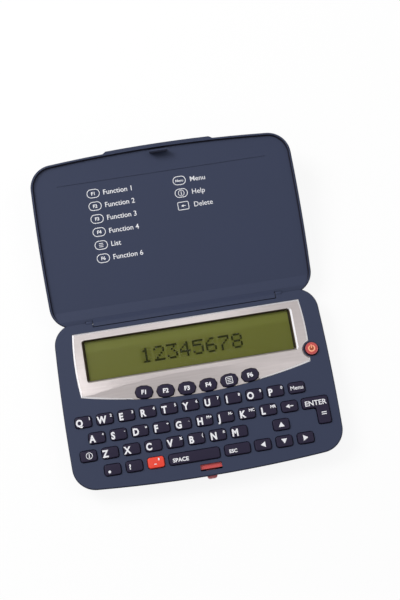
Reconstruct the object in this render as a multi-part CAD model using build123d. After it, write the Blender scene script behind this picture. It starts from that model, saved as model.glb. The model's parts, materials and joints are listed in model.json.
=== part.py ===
from build123d import *
import os
from math import asin, copysign, cos, degrees, radians, sin, sqrt, tan

# A pocket electronic dictionary: a shallow keyboard base and a lid of the same outline, hinged at
# the rear. Lengths are in millimetres. Every piece is drawn with y measured from the hinge line,
# negative towards the user, and z from the table. At the end all pieces move by the same amount,
# which puts the origin at the middle of the base's flat underside.

# ---------------------------------------------------------------- driving dimensions
hinge_from_origin = 39.7      # the hinge line lies this far behind the origin

# outline shared by the base and the lid
half_width = 62.85            # at the widest place
widest_at = -42.1             # y of the widest place
side_radius = 900.0           # the sides bow outwards
front_depth = 79.5            # hinge line to the middle of the front edge
front_radius = 660.0          # the front edge bows outwards
front_corner = 11.0
rear_corner = 10.5
rear_reach = 1.0              # the outline runs this far past the hinge line, where it is cut

# heights in the base
top_z = 9.4                   # keyboard surface
edge_drop = 0.6               # the widest level lies this far under the surface
split_z = 5.4                 # seam between the two halves of the base
draft = radians(24)           # both halves draw in towards the table
wall = 1.5
floor = 1.6
plate = 1.6                   # thickness of the keyboard surface
rim_round = 0.5
foot_round = 0.9              # the sloping edge round the underside, and round the lid's outside

# hinge
axis_depth = 0.9              # the hinge axis lies this far under the keyboard surface
axis_z = top_z - axis_depth
open_tilt = 8.57              # how far the opened lid stands up from level, degrees
tongue_half = 43.1            # half length of the lid's hinge tongue
tongue_front = 2.0            # the tongue's front edge, in front of the axis
pocket_radius = 2.5           # trough in the base that the tongue turns in
ear_radius = 1.15
ear_width = 3.0
pin_radius = 0.5
pin_length = 7.3

# lid
lid_thickness = 3.9
lid_recess = 1.3              # the inner face lies this far below the rim
lid_rim = 0.95
lid_slope = 0.5               # the wall from the rim down to the inner face leans by this much
crease_at = 66.5              # a fine groove crosses the inner face at this distance
crease_half = 50.0
crease_width = 0.5
crease_depth = 0.2
closed_gap = 0.05             # left between rim and keyboard surface when shut
lip_half = 26.5               # thumb lip on the free edge
lip_reach = 0.9
lip_runout = 2.5              # each end of the lip slopes back over this length

# keys
column_pitch = 9.92
key_width = 7.7
key_depth = 5.2
key_corner = 1.2
key_stand = 0.9               # how far a key stands above the surface
key_travel = 0.6
key_gap = 0.2                 # all round, between key and opening
flange = 0.75                 # thickness of the collar under the surface
flange_reach = 0.5
row_y = (-45.95, -54.0, -61.7, -69.5)

# display and its silver frame
frame_stand = 0.5             # the frame's top above the keyboard surface
frame_seat = 0.8              # depth of its pocket
window_width = 99.6           # at the top of the opening
window_rear = -8.1
window_front = -28.3
window_slope = 0.85           # the opening's walls draw in by this much
function_width = 8.2
function_depth = 5.9
function_corner = 2.7
power_at = (55.2, -28.9)
power_radius = 3.15

# latch
slot_half = 4.95
slot_rear = -73.8
slot_front = -76.9
slot_plate = 1.0              # the surface is thinner round the slot
hook_half = 4.2
hook_rear = -76.05
hook_thick = 0.65
hook_barb = 0.65
hook_tip_z = 6.45

# inside
board_z = 3.6
board = 1.2
mat = 0.6
cell_radius = 10.0
cell_height = 3.2
cell_x = 13.0
cell_y = -18.5
door_size = (52.0, 25.0)
door = 1.0
door_tab = 2.2                # the tab that the screw holds is thicker
screw_posts = ((-56.5, -8.0), (56.5, -8.0), (-53.0, -71.5), (53.0, -71.5))
door_screw = (0.0, -33.6)
post_radius = 2.4
case_head_z = 2.6             # underside of the heads of the case screws
door_head_z = 0.3
head_radius = 1.7
head = 1.0
shank_radius = 0.95
shank = 3.3

pieces = {}                   # node name: shape


# ---------------------------------------------------------------- helpers
def block(x0, x1, y0, y1, z0, z1):
    """A box between three pairs of limits."""
    middle = Pos((x0 + x1) / 2, (y0 + y1) / 2, (z0 + z1) / 2)
    return middle * Box(abs(x1 - x0), abs(y1 - y0), abs(z1 - z0))


def post(x, y, radius, z0, z1, sides=8):
    """An upright post with flat sides, for what is small or hidden."""
    return prism(Pos(x, y) * RegularPolygon(radius, sides), z0, z1)


def rod(x0, x1, radius):
    """A cylinder along the hinge axis."""
    return Pos((x0 + x1) / 2, 0, axis_z) * Rot(0, 90, 0) * Cylinder(radius, x1 - x0)


def thin_rod(x0, x1, radius, bore=False):
    """A slender pin along the hinge axis with twelve flats, or the bore that it fits in."""
    section = RegularPolygon(radius, 12, major_radius=not bore)
    return Pos(x0, 0, axis_z) * Rot(0, 90, 0) * extrude(section, x1 - x0)


def prism(sketch, z0, z1):
    """A flat sketch drawn up from z0 to z1."""
    return extrude(Pos(0, 0, z0) * sketch, z1 - z0, dir=(0, 0, 1))


def soft_polygon(points, corner, flats=2):
    """A flat shape from square-cornered points, each corner turned by a few short flats."""
    drawn = []
    for i, here in enumerate(points):
        before, after = points[i - 1], points[(i + 1) % len(points)]
        arrive = (Vector(here) - Vector(before)).normalized()
        leave = (Vector(after) - Vector(here)).normalized()
        centre = Vector(here) - arrive * corner + leave * corner
        for step in range(flats + 1):
            angle = radians(90 * step / flats)
            drawn.append(centre - leave * corner * cos(angle) + arrive * corner * sin(angle))
    return make_face(Polyline(*drawn, close=True))


def rounded(x, y, width, depth, corner, turn=0.0):
    """A soft-cornered rectangle lying flat."""
    w, d = width / 2, depth / 2
    corners = [(-w, -d), (w, -d), (w, d), (-w, d)]
    return Pos(x, y) * Rot(0, 0, turn) * soft_polygon(corners, corner)


def outline(inset):
    """The rounded outline of base and lid, drawn in by inset, before the hinge cut."""
    widest = half_width - inset
    front = inset - front_depth
    rear = rear_reach - inset

    def side(y):
        return widest - (y - widest_at) ** 2 / (2 * side_radius)

    corner_x = side(front + 3)
    corner_y = front + corner_x**2 / (2 * front_radius)
    rear_x = side(rear)
    with BuildSketch() as drawn:
        with BuildLine():
            ThreePointArc((-corner_x, corner_y), (0, front), (corner_x, corner_y))
            ThreePointArc((corner_x, corner_y), (widest, widest_at), (rear_x, rear))
            Line((rear_x, rear), (-rear_x, rear))
            ThreePointArc((-rear_x, rear), (-widest, widest_at), (-corner_x, corner_y))
        make_face()
        corners = drawn.vertices().sort_by(Axis.Y)
        fillet(corners[:2], front_corner - inset)
        corners = drawn.vertices().sort_by(Axis.Y)
        fillet(corners[-2:], rear_corner - inset)
    return drawn.sketch


def stacked(levels, turned=0.0):
    """A solid with straight walls through outlines given as (z, inset) pairs."""
    sections = [Pos(0, 0, z) * Rot(0, 0, turned) * outline(inset) for z, inset in levels]
    return loft([section.face() for section in sections], ruled=True)


def drawn_in(drop):
    """How far a drafted side has drawn in at a drop below the rounded rim."""
    return max(0.0, (drop - edge_drop) * tan(draft))


def drafted(z0, z1):
    """The inside of the base between two heights."""
    return stacked([(z, drawn_in(top_z - z) + wall) for z in (z0, z1)])


before_hinge = block(-80, 80, -100, -0.05, -5, 30)


# ---------------------------------------------------------------- where the keys are
def row(names, first_x, y):
    """Ordinary keys at the column pitch, from first_x to the right."""
    return {
        "key_" + name: (first_x + i * column_pitch, y, key_width, key_depth)
        for i, name in enumerate(names)
    }


keys = row("q w e r t y u i o p menu".split(), -54.3, row_y[0])
keys |= row("a s d f g h j k l correct".split(), -49.2, row_y[1])
keys |= row("info z x c v b n m".split(), -54.2, row_y[2])
keys |= row("period question hyphen".split(), -44.3, row_y[3])
keys["key_space"] = (-6.8, row_y[3], 23.5, key_depth)
keys["key_escape"] = (13.1, row_y[3], 11.9, key_depth)
keys["key_up"] = (34.8, row_y[2], key_width, key_depth)
keys |= row("left down right".split(), 24.88, row_y[3])

# the L-shaped ENTER key: a bar, and a leg that runs down beside the third row
enter_right = 58.1
enter_bar = (45.8, enter_right, -56.6, -51.4)
enter_leg = (52.0, enter_right, -64.4, -51.4)


def enter_sketch(grow):
    """The outline of the ENTER key, larger all round by grow."""
    bar_left, right, bar_front, rear = enter_bar
    leg_left, _, leg_front, _ = enter_leg
    corners = [
        (leg_left - grow, leg_front - grow), (right + grow, leg_front - grow),
        (right + grow, rear + grow), (bar_left - grow, rear + grow),
        (bar_left - grow, bar_front - grow), (leg_left - grow, bar_front - grow)]
    return soft_polygon(corners, key_corner)


# the six function keys follow the bowed lower edge of the silver frame
frame_lower = -41.15
frame_lower_radius = 222.0
function_inset = 3.15
function_keys = {}
for i in range(6):
    x = (i - 2.5) * 9.9
    lean = asin(x / frame_lower_radius)
    y = frame_lower + function_inset + frame_lower_radius * (1 - cos(lean))
    function_keys[f"function_key_{i + 1}"] = (x, y, degrees(lean))


def function_sketch(place, grow):
    """The outline of a function key at (x, y, turn), larger all round by grow."""
    x, y, turn = place
    return rounded(x, y, function_width + 2 * grow, function_depth + 2 * grow,
                   function_corner + grow, turn)


def function_block(place, grow):
    """A plain rectangle over the outline of a function key, larger all round by grow."""
    x, y, turn = place
    size = (function_width + 2 * grow, function_depth + 2 * grow)
    return Pos(x, y) * Rot(0, 0, turn) * Rectangle(*size)


def round_outline(grow):
    """The outline of the power button, larger all round by grow."""
    return Pos(*power_at) * RegularPolygon(power_radius + grow, 24)


def key_openings(gap):
    """The openings for all the keys in the keyboard surface, as one flat sketch."""
    faces = [
        rounded(x, y, w + 2 * gap, d + 2 * gap, key_corner + gap)
        for x, y, w, d in keys.values()
    ]
    # those of the function keys are hidden under the silver frame
    faces += [function_block(place, gap) for place in function_keys.values()]
    faces += [enter_sketch(gap), round_outline(gap)]
    return Sketch() + faces


# ---------------------------------------------------------------- silver display frame
def frame_sketch(grow):
    """Outline of the display frame: bowed sides and lower edge, notched for the power button."""
    top, side_mid, low = -4.5 + grow, -20.0, -34.6
    top_x, mid_x, low_x = 53.5 + grow, 54.5 + grow, 53.6 + grow
    with BuildSketch() as drawn:
        with BuildLine():
            Line((-top_x, top), (top_x, top))
            ThreePointArc((top_x, top), (mid_x, side_mid), (low_x, low))
            ThreePointArc((low_x, low), (0, frame_lower - grow), (-low_x, low))
            ThreePointArc((-low_x, low), (-mid_x, side_mid), (-top_x, top))
        make_face()
        with Locations(power_at):
            RegularPolygon(power_radius + 0.8 - grow, 24, mode=Mode.SUBTRACT)
    return drawn.sketch


def window_cut(z0, z1):
    """The display opening, with walls that slope in towards the glass."""
    middle_y = (window_rear + window_front) / 2
    tall = window_rear - window_front
    low = Pos(0, 0, z0) * rounded(
        0, middle_y, window_width - 2 * window_slope, tall - 2 * window_slope, 0.6)
    high = Pos(0, 0, z1) * rounded(0, middle_y, window_width, tall, 1.2)
    return loft([low.face(), high.face()], ruled=True)


frame_top = top_z + frame_stand
frame_floor = top_z - frame_seat
display_frame = prism(frame_sketch(0), frame_floor, frame_top)
display_frame -= window_cut(frame_floor, frame_top)
# the lower part falls away in a lens-shaped facet: a wide cone about an axis far in front
crease_y = -30.0
crease_radius = 294.0
facet_fall = 0.06             # drop for each unit outwards
facet_floor = frame_top - 20 * facet_fall
facet_profile = Polyline(
    (crease_radius, frame_top), (crease_radius, frame_top + 2), (crease_radius - 20, frame_top + 2),
    (crease_radius - 20, facet_floor), close=True)
facet = revolve(Plane.XZ * make_face(facet_profile), Axis.Z, 40)
facet = Pos(0, crease_y - crease_radius, 0) * Rot(0, 0, 70) * facet
display_frame -= facet
for place in function_keys.values():
    display_frame -= prism(function_sketch(place, key_gap), frame_floor - 1, frame_top + 1)
pieces["display_frame"] = display_frame

# clear window under the frame and the display module under the window
lens_y = (window_rear + window_front) / 2
lens_size = (102.6, 22.6)
pieces["display_window"] = prism(rounded(0, lens_y, *lens_size, 1.0), 7.9, frame_floor - 0.05)
lcd_tray = block(-51.9, 51.9, lens_y - 12.6, lens_y + 12.0, board_z + board + 0.05, 6.4)
lcd_glass = block(-50.4, 50.4, lens_y - 11.0, lens_y + 11.0, 6.4, 7.7)
pieces["lcd_module"] = lcd_tray + lcd_glass

# ---------------------------------------------------------------- keyboard housing
housing = stacked([
    (split_z, drawn_in(top_z - split_z)), (top_z - edge_drop, 0), (top_z - rim_round, 0),
    (top_z, rim_round)])
housing -= drafted(split_z, top_z - plate)
# the trough for the lid's tongue, and the pocket that seats the silver frame
housing += block(-tongue_half - 4, tongue_half + 4, -4.2, 0, split_z, top_z)
housing &= before_hinge
ear_from = tongue_half + 0.3
ear_to = ear_from + ear_width
for near, far in ((-ear_to, -ear_from), (ear_from, ear_to)):
    housing += rod(near, far, ear_radius)
housing -= rod(-ear_from, ear_from, pocket_radius)
housing -= thin_rod(-ear_to, ear_to, pin_radius + 0.05, bore=True)
housing -= prism(frame_sketch(0.12), frame_floor, top_z + 1)
housing -= prism(rounded(0, lens_y, lens_size[0] + 0.4, lens_size[1] + 0.4, 1.2), 5, top_z)
housing -= prism(key_openings(key_gap), split_z, top_z + 2)
# latch slot, and room behind the front wall for the slide
housing -= block(-slot_half, slot_half, slot_front, slot_rear, split_z, top_z + 1)
slide_room = -72.62           # just clear of the collar of the SPACE key
housing -= block(-7, 7, slot_front - 0.1, slide_room, split_z - 1, top_z - slot_plate)
for x, y in screw_posts:
    housing += post(x, y, post_radius, split_z, top_z - plate + 0.2)
    housing -= post(x, y, shank_radius + 0.05, split_z - 1, 7.3)
pieces["keyboard_housing"] = housing

# ---------------------------------------------------------------- bottom case
case_top = split_z - 0.05
case = stacked([
    (0, drawn_in(top_z) + foot_round), (foot_round, drawn_in(top_z - foot_round)),
    (case_top, drawn_in(top_z - case_top))])
case -= drafted(floor, split_z)
for x, y in screw_posts:
    case += post(x, y, post_radius + 0.1, floor - 0.5, case_top)
    case -= post(x, y, head_radius + 0.3, -1, case_head_z + head)
    case -= post(x, y, shank_radius + 0.15, 0, split_z)
tab_front = cell_y - door_size[1] / 2 - 5
case += block(-5.6, 5.6, tab_front - 1.4, tab_front + 5.4, floor - 0.5, board_z - 0.15)
# battery opening: the door lies in a rebate, over a ledge; its tabs hook in at the rear
door_w, door_d = door_size
case -= prism(rounded(0, cell_y, door_w + 0.4, door_d + 0.4, 2.2), -1, door + 0.05)
case -= prism(rounded(0, cell_y, door_w - 2.4, door_d - 2.4, 1.5), 0, floor + 1)
case -= block(-4.2, 4.2, tab_front - 0.2, cell_y - 8, -1, door_tab + 0.05)
case -= post(*door_screw, shank_radius + 0.05, 0, board_z)
tab_x = 15.0
tab_half = 3.0
door_rear = cell_y + door_d / 2
for x in (-tab_x, tab_x):
    case -= block(x - tab_half - 0.2, x + tab_half + 0.2, door_rear - 2.2, door_rear + 0.2, 0, 3)
# notch for the latch's push button, and the rib its spring leans on
case -= block(-2.55, 2.55, -80, -70, board_z - 0.15, split_z + 1)
spring_rib = -68.2
case += block(-2.0, 2.0, spring_rib, spring_rib + 1.0, floor - 0.5, 5.2)
pieces["bottom_case"] = case

door_plate = prism(rounded(0, cell_y, door_w, door_d, 2.0), 0, door)
door_plate += block(-4, 4, tab_front, tab_front + 6, 0, door_tab)
for x in (-tab_x, tab_x):
    door_plate += block(x - tab_half, x + tab_half, door_rear - 2, door_rear - 0.2, door - 0.2, 2.3)
    door_plate += block(x - tab_half, x + tab_half, door_rear - 2, door_rear + 1.5, floor + 0.05, 2.3)
# a row of grip ridges
for i in range(5):
    y = cell_y + (i - 2) * 2.0
    door_plate -= block(-9, 9, y - 0.4, y + 0.4, -1, 0.35)
door_plate -= post(*door_screw, head_radius + 0.15, -1, door_head_z + head)
door_plate -= post(*door_screw, shank_radius + 0.15, -1, door_tab + 1)
pieces["battery_door"] = door_plate


def screw(x, y, head_z):
    """A pan-head screw whose head starts at head_z."""
    return post(x, y, head_radius, head_z, head_z + head) + post(
        x, y, shank_radius, head_z + head, head_z + head + shank)


# ---------------------------------------------------------------- lid
# drawn lying level behind the base, then tilted up about the hinge axis
rim_z = axis_z - axis_depth - closed_gap
lid = stacked([
    (rim_z - lid_thickness, drawn_in(lid_thickness) + foot_round),
    (rim_z - lid_thickness + foot_round, drawn_in(lid_thickness - foot_round)),
    (rim_z - edge_drop, 0), (rim_z - rim_round, 0), (rim_z, rim_round)], 180)
# the thumb lip on the free edge
lip_root = front_depth - lip_half**2 / (2 * front_radius)
lip = make_face(Polyline(
    (-lip_half, lip_root - 3), (lip_half, lip_root - 3), (lip_half, lip_root - 0.1),
    (lip_half - lip_runout, front_depth + 1), (lip_runout - lip_half, front_depth + 1),
    (-lip_half, lip_root - 0.1), close=True))
lip &= Pos(0, lip_reach) * Rot(0, 0, 180) * outline(0)
lid += prism(lip, rim_z - 2.0, rim_z - 0.3)
# the dished inner face, with a long ramp towards the hinge
dish = stacked([
    (rim_z - lid_recess, lid_rim + lid_slope), (rim_z, lid_rim), (rim_z + 0.5, lid_rim)], 180)
ramp_start, ramp_end = 2.4, 7.0
ramp = make_face(Plane.YZ * Polyline(
    (-1, rim_z - 5), (-1, rim_z + 2), (ramp_start, rim_z + 2), (ramp_start, rim_z),
    (ramp_end, rim_z - lid_recess), (ramp_end, rim_z - 5), close=True))
dish -= extrude(ramp, 80, both=True)
lid -= dish
lid -= block(-crease_half, crease_half, crease_at - crease_width / 2, crease_at + crease_width / 2,
             rim_z - lid_recess - crease_depth, rim_z - lid_recess + 0.1)
lid &= block(-80, 80, 0.1, 100, -5, 30)
# the tongue: a rounded bar about the axis, planed off level with the keyboard at the front
# and then sloping down to the lid's rim
tilt = radians(open_tilt)


def in_level_lid(y, z):
    """A point given beside the axis in the opened lid, in the lid as it is drawn, level."""
    return y * cos(tilt) + z * sin(tilt), axis_z - y * sin(tilt) + z * cos(tilt)


tongue = rod(-tongue_half, tongue_half, sqrt(tongue_front**2 + axis_depth**2))
front_y, front_z = in_level_lid(-tongue_front, axis_depth)
bend = in_level_lid(-0.3, axis_depth)
meets_rim = 2.1
planed = make_face(Plane.YZ * Polyline(
    (front_y - 3, front_z + 3), (front_y, front_z), bend, (meets_rim, rim_z),
    (meets_rim + 3, rim_z), (meets_rim + 3, front_z + 3), close=True))
lid += tongue - extrude(planed, 80, both=True)
for near, far in ((-ear_to - 0.3, -ear_from + 0.2), (ear_from - 0.2, ear_to + 0.3)):
    lid -= rod(near, far, ear_radius + 0.3)
for x in (-tongue_half, tongue_half):
    lid -= thin_rod(x - 4.2, x + 4.2, pin_radius + 0.02, bore=True)
# the hook that the latch holds, standing just inside the rim, its barb towards the hinge
hook_y = -hook_rear
hook_top = 2 * axis_z - hook_tip_z
hook_profile = Polyline(
    (hook_y, rim_z - lid_recess - 0.2), (hook_y + hook_thick, rim_z - lid_recess - 0.2),
    (hook_y + hook_thick, hook_top), (hook_y, hook_top), (hook_y - hook_barb, hook_top - 0.6),
    (hook_y, hook_top - 0.6), close=True)
lid += extrude(make_face(Plane.YZ * hook_profile), hook_half, both=True)
tilt_open = Pos(0, 0, axis_z) * Rot(open_tilt, 0, 0) * Pos(0, 0, -axis_z)
pieces["lid"] = tilt_open * lid

pins = [thin_rod(-ear_to + 0.1, -ear_to + 0.1 + pin_length, pin_radius)]
pins += [thin_rod(ear_to - 0.1 - pin_length, ear_to - 0.1, pin_radius)]
pieces["hinge_pins"] = pins

# ---------------------------------------------------------------- latch
slide_low, slide_high = 7.1, top_z - slot_plate - 0.1
slide_rear = -73.7
stem_low, stem_high = board_z, 5.3
push_half = 2.3
push_reach = 0.7
slide = block(-6.5, 6.5, hook_rear + 0.05, slide_rear, slide_low, slide_high)
slide += block(-2.0, 2.0, hook_rear + hook_barb + 0.2, slide_rear, stem_low, slide_low + 0.1)
stem = block(-push_half, push_half, -front_depth - push_reach, slide_rear, stem_low, stem_high)
nose = stem.edges().filter_by(Axis.Z).sort_by(Axis.Y)[:2]
slide += fillet(nose, 1.2)
pieces["latch_slide"] = slide

# a folded strip spring between the slide and the rib in the case
spring_from, spring_to = slide_rear, spring_rib
folds = 6
strip = 0.8                   # measured across, where the strip runs aslant
spring_step = (spring_to - spring_from) / folds
zigzag = [(1.4 * (-1) ** i - strip / 2, spring_from + i * spring_step) for i in range(folds + 1)]
strip_outline = zigzag + [(x + strip, y) for x, y in reversed(zigzag)]
pieces["latch_spring"] = prism(make_face(Polyline(*strip_outline, close=True)), 3.75, 5.15)

# ---------------------------------------------------------------- board, mat, cells, screws
board_top = board_z + board
inside = outline(4.3)
spring_room = block(-3.2, 3.2, -80, -66.8, 0, 20)
circuit_board = prism(inside, board_z, board_top) & block(-80, 80, -73.2, -5.2, 0, 20)
key_mat = prism(inside, board_top, board_top + mat)
key_mat &= block(-80, 80, -73.2, -33.4, 0, 20) + block(52.8, 80, -34, -24.5, 0, 20)
for x, y in screw_posts:
    # both have their corners cut off for the screw posts
    room = post_radius + 0.5
    beyond, near = (-80, y + room) if y < widest_at else (0, y - room)
    corner = block(x - copysign(room, x), copysign(80, x), near, beyond, 0, 20)
    circuit_board -= corner
    key_mat -= corner
for x in (-cell_x, cell_x):
    # an opening for the cell, with a sprung contact left over it
    contact = block(x - 2, x + 2, cell_y - 12, cell_y + 2, board_top - 0.25, board_top)
    circuit_board -= post(x, cell_y, cell_radius + 0.6, 0, 20, 24) - contact
circuit_board -= spring_room + post(*door_screw, 1.5, 0, 20)
key_mat -= spring_room
pieces["circuit_board"] = circuit_board

flange_top = top_z - plate - 0.05
flange_low = flange_top - flange
plunger_top = flange_low - key_travel - 0.1
centres = [(x, y) for x, y, _, _ in keys.values()]
centres += [(x, y) for x, y, _ in function_keys.values()]
centres += [power_at, (54.9, -54.0)]
for x, y in centres:
    key_mat += block(x - 1.5, x + 1.5, y - 1.5, y + 1.5, board_top + 0.1, plunger_top)
pieces["key_mat"] = key_mat

pieces["coin_cells"] = [
    post(x, cell_y, cell_radius, door + 0.1, door + 0.1 + cell_height, 24)
    for x in (-cell_x, cell_x)]
pieces["screws"] = [screw(x, y, case_head_z) for x, y in screw_posts]
pieces["screws"] += [screw(*door_screw, door_head_z)]


# ---------------------------------------------------------------- keys
def cap(collar, foot):
    """A key: a collar under the surface and a tapered cap that stands through it."""
    raised = extrude(Pos(0, 0, flange_top) * foot, key_top - flange_top, taper=key_taper)
    return prism(collar, flange_low, flange_top) + raised


key_top = top_z + key_stand
key_taper = 4.5               # degrees
key_draw = (key_top - flange_top) * tan(radians(key_taper))
for name, (x, y, w, d) in keys.items():
    collar = Pos(x, y) * Rectangle(w + 2 * flange_reach, d + 2 * flange_reach)
    pieces[name] = cap(collar, rounded(x, y, w, d, key_corner))
# ENTER has the same taper, between two outlines because of its inner corner
enter_foot = Pos(0, 0, flange_top) * enter_sketch(0)
enter_top = Pos(0, 0, key_top) * enter_sketch(-key_draw)
enter = prism(enter_sketch(flange_reach), flange_low, flange_top)
pieces["key_enter"] = enter + loft([enter_foot.face(), enter_top.face()], ruled=True)
for name, place in function_keys.items():
    pieces[name] = cap(function_block(place, flange_reach), function_sketch(place, 0))
# the round power button has a bevelled rim
power_top = top_z + 1.1
button = prism(round_outline(0), flange_low, power_top)
button = chamfer(button.edges().group_by(Axis.Z)[-1], 0.4)
pieces["power_button"] = button + prism(round_outline(flange_reach), flange_low, flange_top)

# ---------------------------------------------------------------- write the files
place = Pos(0, hinge_from_origin, 0)
for name, made in pieces.items():
    solids = made if isinstance(made, list) else made.solids()
    moved = [place * solid for solid in solids]
    export_step(moved[0] if len(moved) == 1 else Compound(moved), f"parts/{name}.step")
print(len(pieces), "pieces")
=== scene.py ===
# %% [markdown]
# # A pocket electronic dictionary, lying open
#
# The object is two shallow shells of blue plastic, hinged together. The base carries a long green
# display in a silver frame and 46 small keys, the power button among them; the lid only carries
# printing. The construction model already holds every piece at its true size. This script dresses
# it: it softens edges, makes keys and silver frame again in finer form, prints on them, and gives
# each surface its finish.

# %% Load the construction model
import bmesh
import bpy
import json
from math import asin, cos, degrees, pi, radians, sin
from mathutils import Matrix, Vector


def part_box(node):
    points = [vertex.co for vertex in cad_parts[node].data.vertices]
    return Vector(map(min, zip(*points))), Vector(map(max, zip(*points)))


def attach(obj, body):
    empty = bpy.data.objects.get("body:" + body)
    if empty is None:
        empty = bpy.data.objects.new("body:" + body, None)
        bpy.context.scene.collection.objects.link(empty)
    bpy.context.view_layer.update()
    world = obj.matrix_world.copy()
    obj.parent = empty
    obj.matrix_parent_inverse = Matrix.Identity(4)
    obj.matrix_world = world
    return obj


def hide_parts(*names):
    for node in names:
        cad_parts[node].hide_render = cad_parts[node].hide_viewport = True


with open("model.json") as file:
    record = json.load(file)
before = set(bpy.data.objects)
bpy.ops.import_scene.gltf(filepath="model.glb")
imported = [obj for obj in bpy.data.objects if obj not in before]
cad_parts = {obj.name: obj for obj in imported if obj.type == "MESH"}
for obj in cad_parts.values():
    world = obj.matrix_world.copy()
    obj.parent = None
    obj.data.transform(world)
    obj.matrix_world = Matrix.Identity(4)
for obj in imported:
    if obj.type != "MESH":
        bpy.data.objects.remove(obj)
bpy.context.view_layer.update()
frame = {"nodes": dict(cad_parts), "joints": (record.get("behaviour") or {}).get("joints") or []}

MM = 0.001
nodes = frame["nodes"]

# %% [markdown]
# ## Where things are
#
# Nearly every piece hangs on two places: the keyboard surface, and the axis that the lid turns
# about. The axis and the lid's angle are read from the model's own hinge, and the surface lies a
# known height above the axis, so the dressing follows if the hinge moves. The lid's printing is
# easiest to lay out on a level lid, and a matrix then tilts it about the axis.

# %% Levels and the tilt of the lid
hinge = next(joint for joint in frame["joints"] if joint["name"] == "lid_hinge")
_, hinge_y, hinge_z = hinge["pos_m"]
axis_depth = 0.9 * MM  # the axis lies this far under the keyboard surface
surface_z = hinge_z + axis_depth
lid_tilt = pi - radians(hinge["range_deg"][1])
to_hinge = Matrix.Translation((0, hinge_y, hinge_z))
on_lid = to_hinge @ Matrix.Rotation(lid_tilt, 4, "X") @ to_hinge.inverted()
print("keyboard at", round(surface_z / MM, 2), "mm, lid raised", round(degrees(lid_tilt), 2), "deg")

# %% [markdown]
# ## Two shared effects
#
# Moulded plastic is never one flat colour. Its mould leaves a fine grain, and the colour drifts a
# little over the width of a hand. Each material could hold its own noise, but nearly all need the
# same, so it is a node group: one place to change it, and each material sets how much it wants.
#
# A second group finds the edges. It compares the surface with one whose edges are rounded off;
# where the two disagree, there is an edge, and handling has polished it a little paler. Edges could
# be painted by hand, but found like this they stay right when a shape changes.

# %% Making nodes
def adjust(thing, **settings):
    """Gives settings of a thing their values and hands it back."""
    for title, value in settings.items():
        setattr(thing, title, value)
    return thing


def feed(tree, node, values):
    """Gives inputs of a node, by name or number, a value or a link from another socket."""
    for title, value in values.items():
        if isinstance(value, bpy.types.NodeSocket):
            tree.links.new(value, node.inputs[title])
        else:
            node.inputs[title].default_value = value


def from_node(tree, kind, values=None, **settings):
    """The outputs of a new node. values go to its inputs, settings to the node itself."""
    node = adjust(tree.nodes.new("ShaderNode" + kind), **settings)
    feed(tree, node, values or {})
    return node.outputs


print("kinds of shader nodes:", sum(kind.startswith("ShaderNode") for kind in dir(bpy.types)))

# %% Sums, mixed colours and noise
def maths(tree, operation, *values, clamp=False):
    """The output of a Math node. values are numbers or sockets."""
    numbered = dict(enumerate(values))
    return from_node(tree, "Math", numbered, operation=operation, use_clamp=clamp)[0]


def mix_colour(tree, factor, a, b, blend="MIX"):
    """The output of a colour Mix node. Each input is a value or a socket."""
    # a Mix node has sockets of every kind, all under the same names: these mix colours
    values = {0: factor, 6: a, 7: b}
    return from_node(tree, "Mix", values, data_type="RGBA", blend_type=blend)[2]


def own(tree, kind="Object"):
    """The piece's own coordinates, or with kind "Normal" its own normal."""
    return from_node(tree, "TexCoord")[kind]


def noise(tree, size, detail=2.0, stretch=None):
    """Noise whose features are about size metres wide, in the piece's own coordinates."""
    place = own(tree)
    if stretch:
        place = from_node(tree, "Mapping", {"Scale": stretch, "Vector": place})["Vector"]
    linked = isinstance(size, bpy.types.NodeSocket)
    scale = maths(tree, "DIVIDE", 1.0, size) if linked else 1 / size
    return from_node(tree, "TexNoise", {"Detail": detail, "Vector": place, "Scale": scale})["Fac"]


print("helpers for sums, mixed colours and noise")

# %% The moulded grain group
def new_group(name, inputs, outputs):
    """An empty node group. Sockets are {name: default}, where a tuple is a colour."""
    tree = bpy.data.node_groups.new(name, "ShaderNodeTree")
    for side, sockets in (("INPUT", inputs), ("OUTPUT", outputs)):
        for title, default in sockets.items():
            kind = "NodeSocketColor" if isinstance(default, tuple) else "NodeSocketFloat"
            socket = tree.interface.new_socket(title, in_out=side, socket_type=kind)
            socket.default_value = default
    return tree, tree.nodes.new("NodeGroupInput").outputs, tree.nodes.new("NodeGroupOutput")


def make_moulded_grain():
    """Fine grain and slow drift of colour, for anything moulded."""
    grey = (0.5, 0.5, 0.5, 1)
    tree, given, result = new_group(
        "moulded_grain",
        {"Colour": grey, "Grain Size": 0.3 * MM, "Drift": 0.08, "Roughness": 0.5,
         "Patchiness": 0.08},
        {"Colour": grey, "Roughness": 0.0, "Height": 0.0})
    patch_size = 22 * MM
    grain_share = 0.35  # the slow patches make up the rest
    grain = noise(tree, given["Grain Size"], 3.0)
    patches = maths(tree, "MULTIPLY", noise(tree, patch_size, 1.0), 1 - grain_share)
    both = maths(tree, "MULTIPLY_ADD", grain, grain_share, patches)
    swing = maths(tree, "MULTIPLY_ADD", both, 2.0, -1.0)  # from -1 to 1
    level = maths(tree, "MULTIPLY_ADD", swing, given["Drift"], 1.0)
    tint = from_node(tree, "CombineColor", {channel: level for channel in range(3)})[0]
    colour = mix_colour(tree, 1.0, given["Colour"], tint, "MULTIPLY")
    rough = maths(tree, "MULTIPLY_ADD", swing, given["Patchiness"], given["Roughness"], clamp=True)
    feed(tree, result, {"Colour": colour, "Roughness": rough, "Height": grain})
    return tree


moulded_grain = make_moulded_grain()
print("group", moulded_grain.name, "with", len(moulded_grain.nodes), "nodes")

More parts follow.
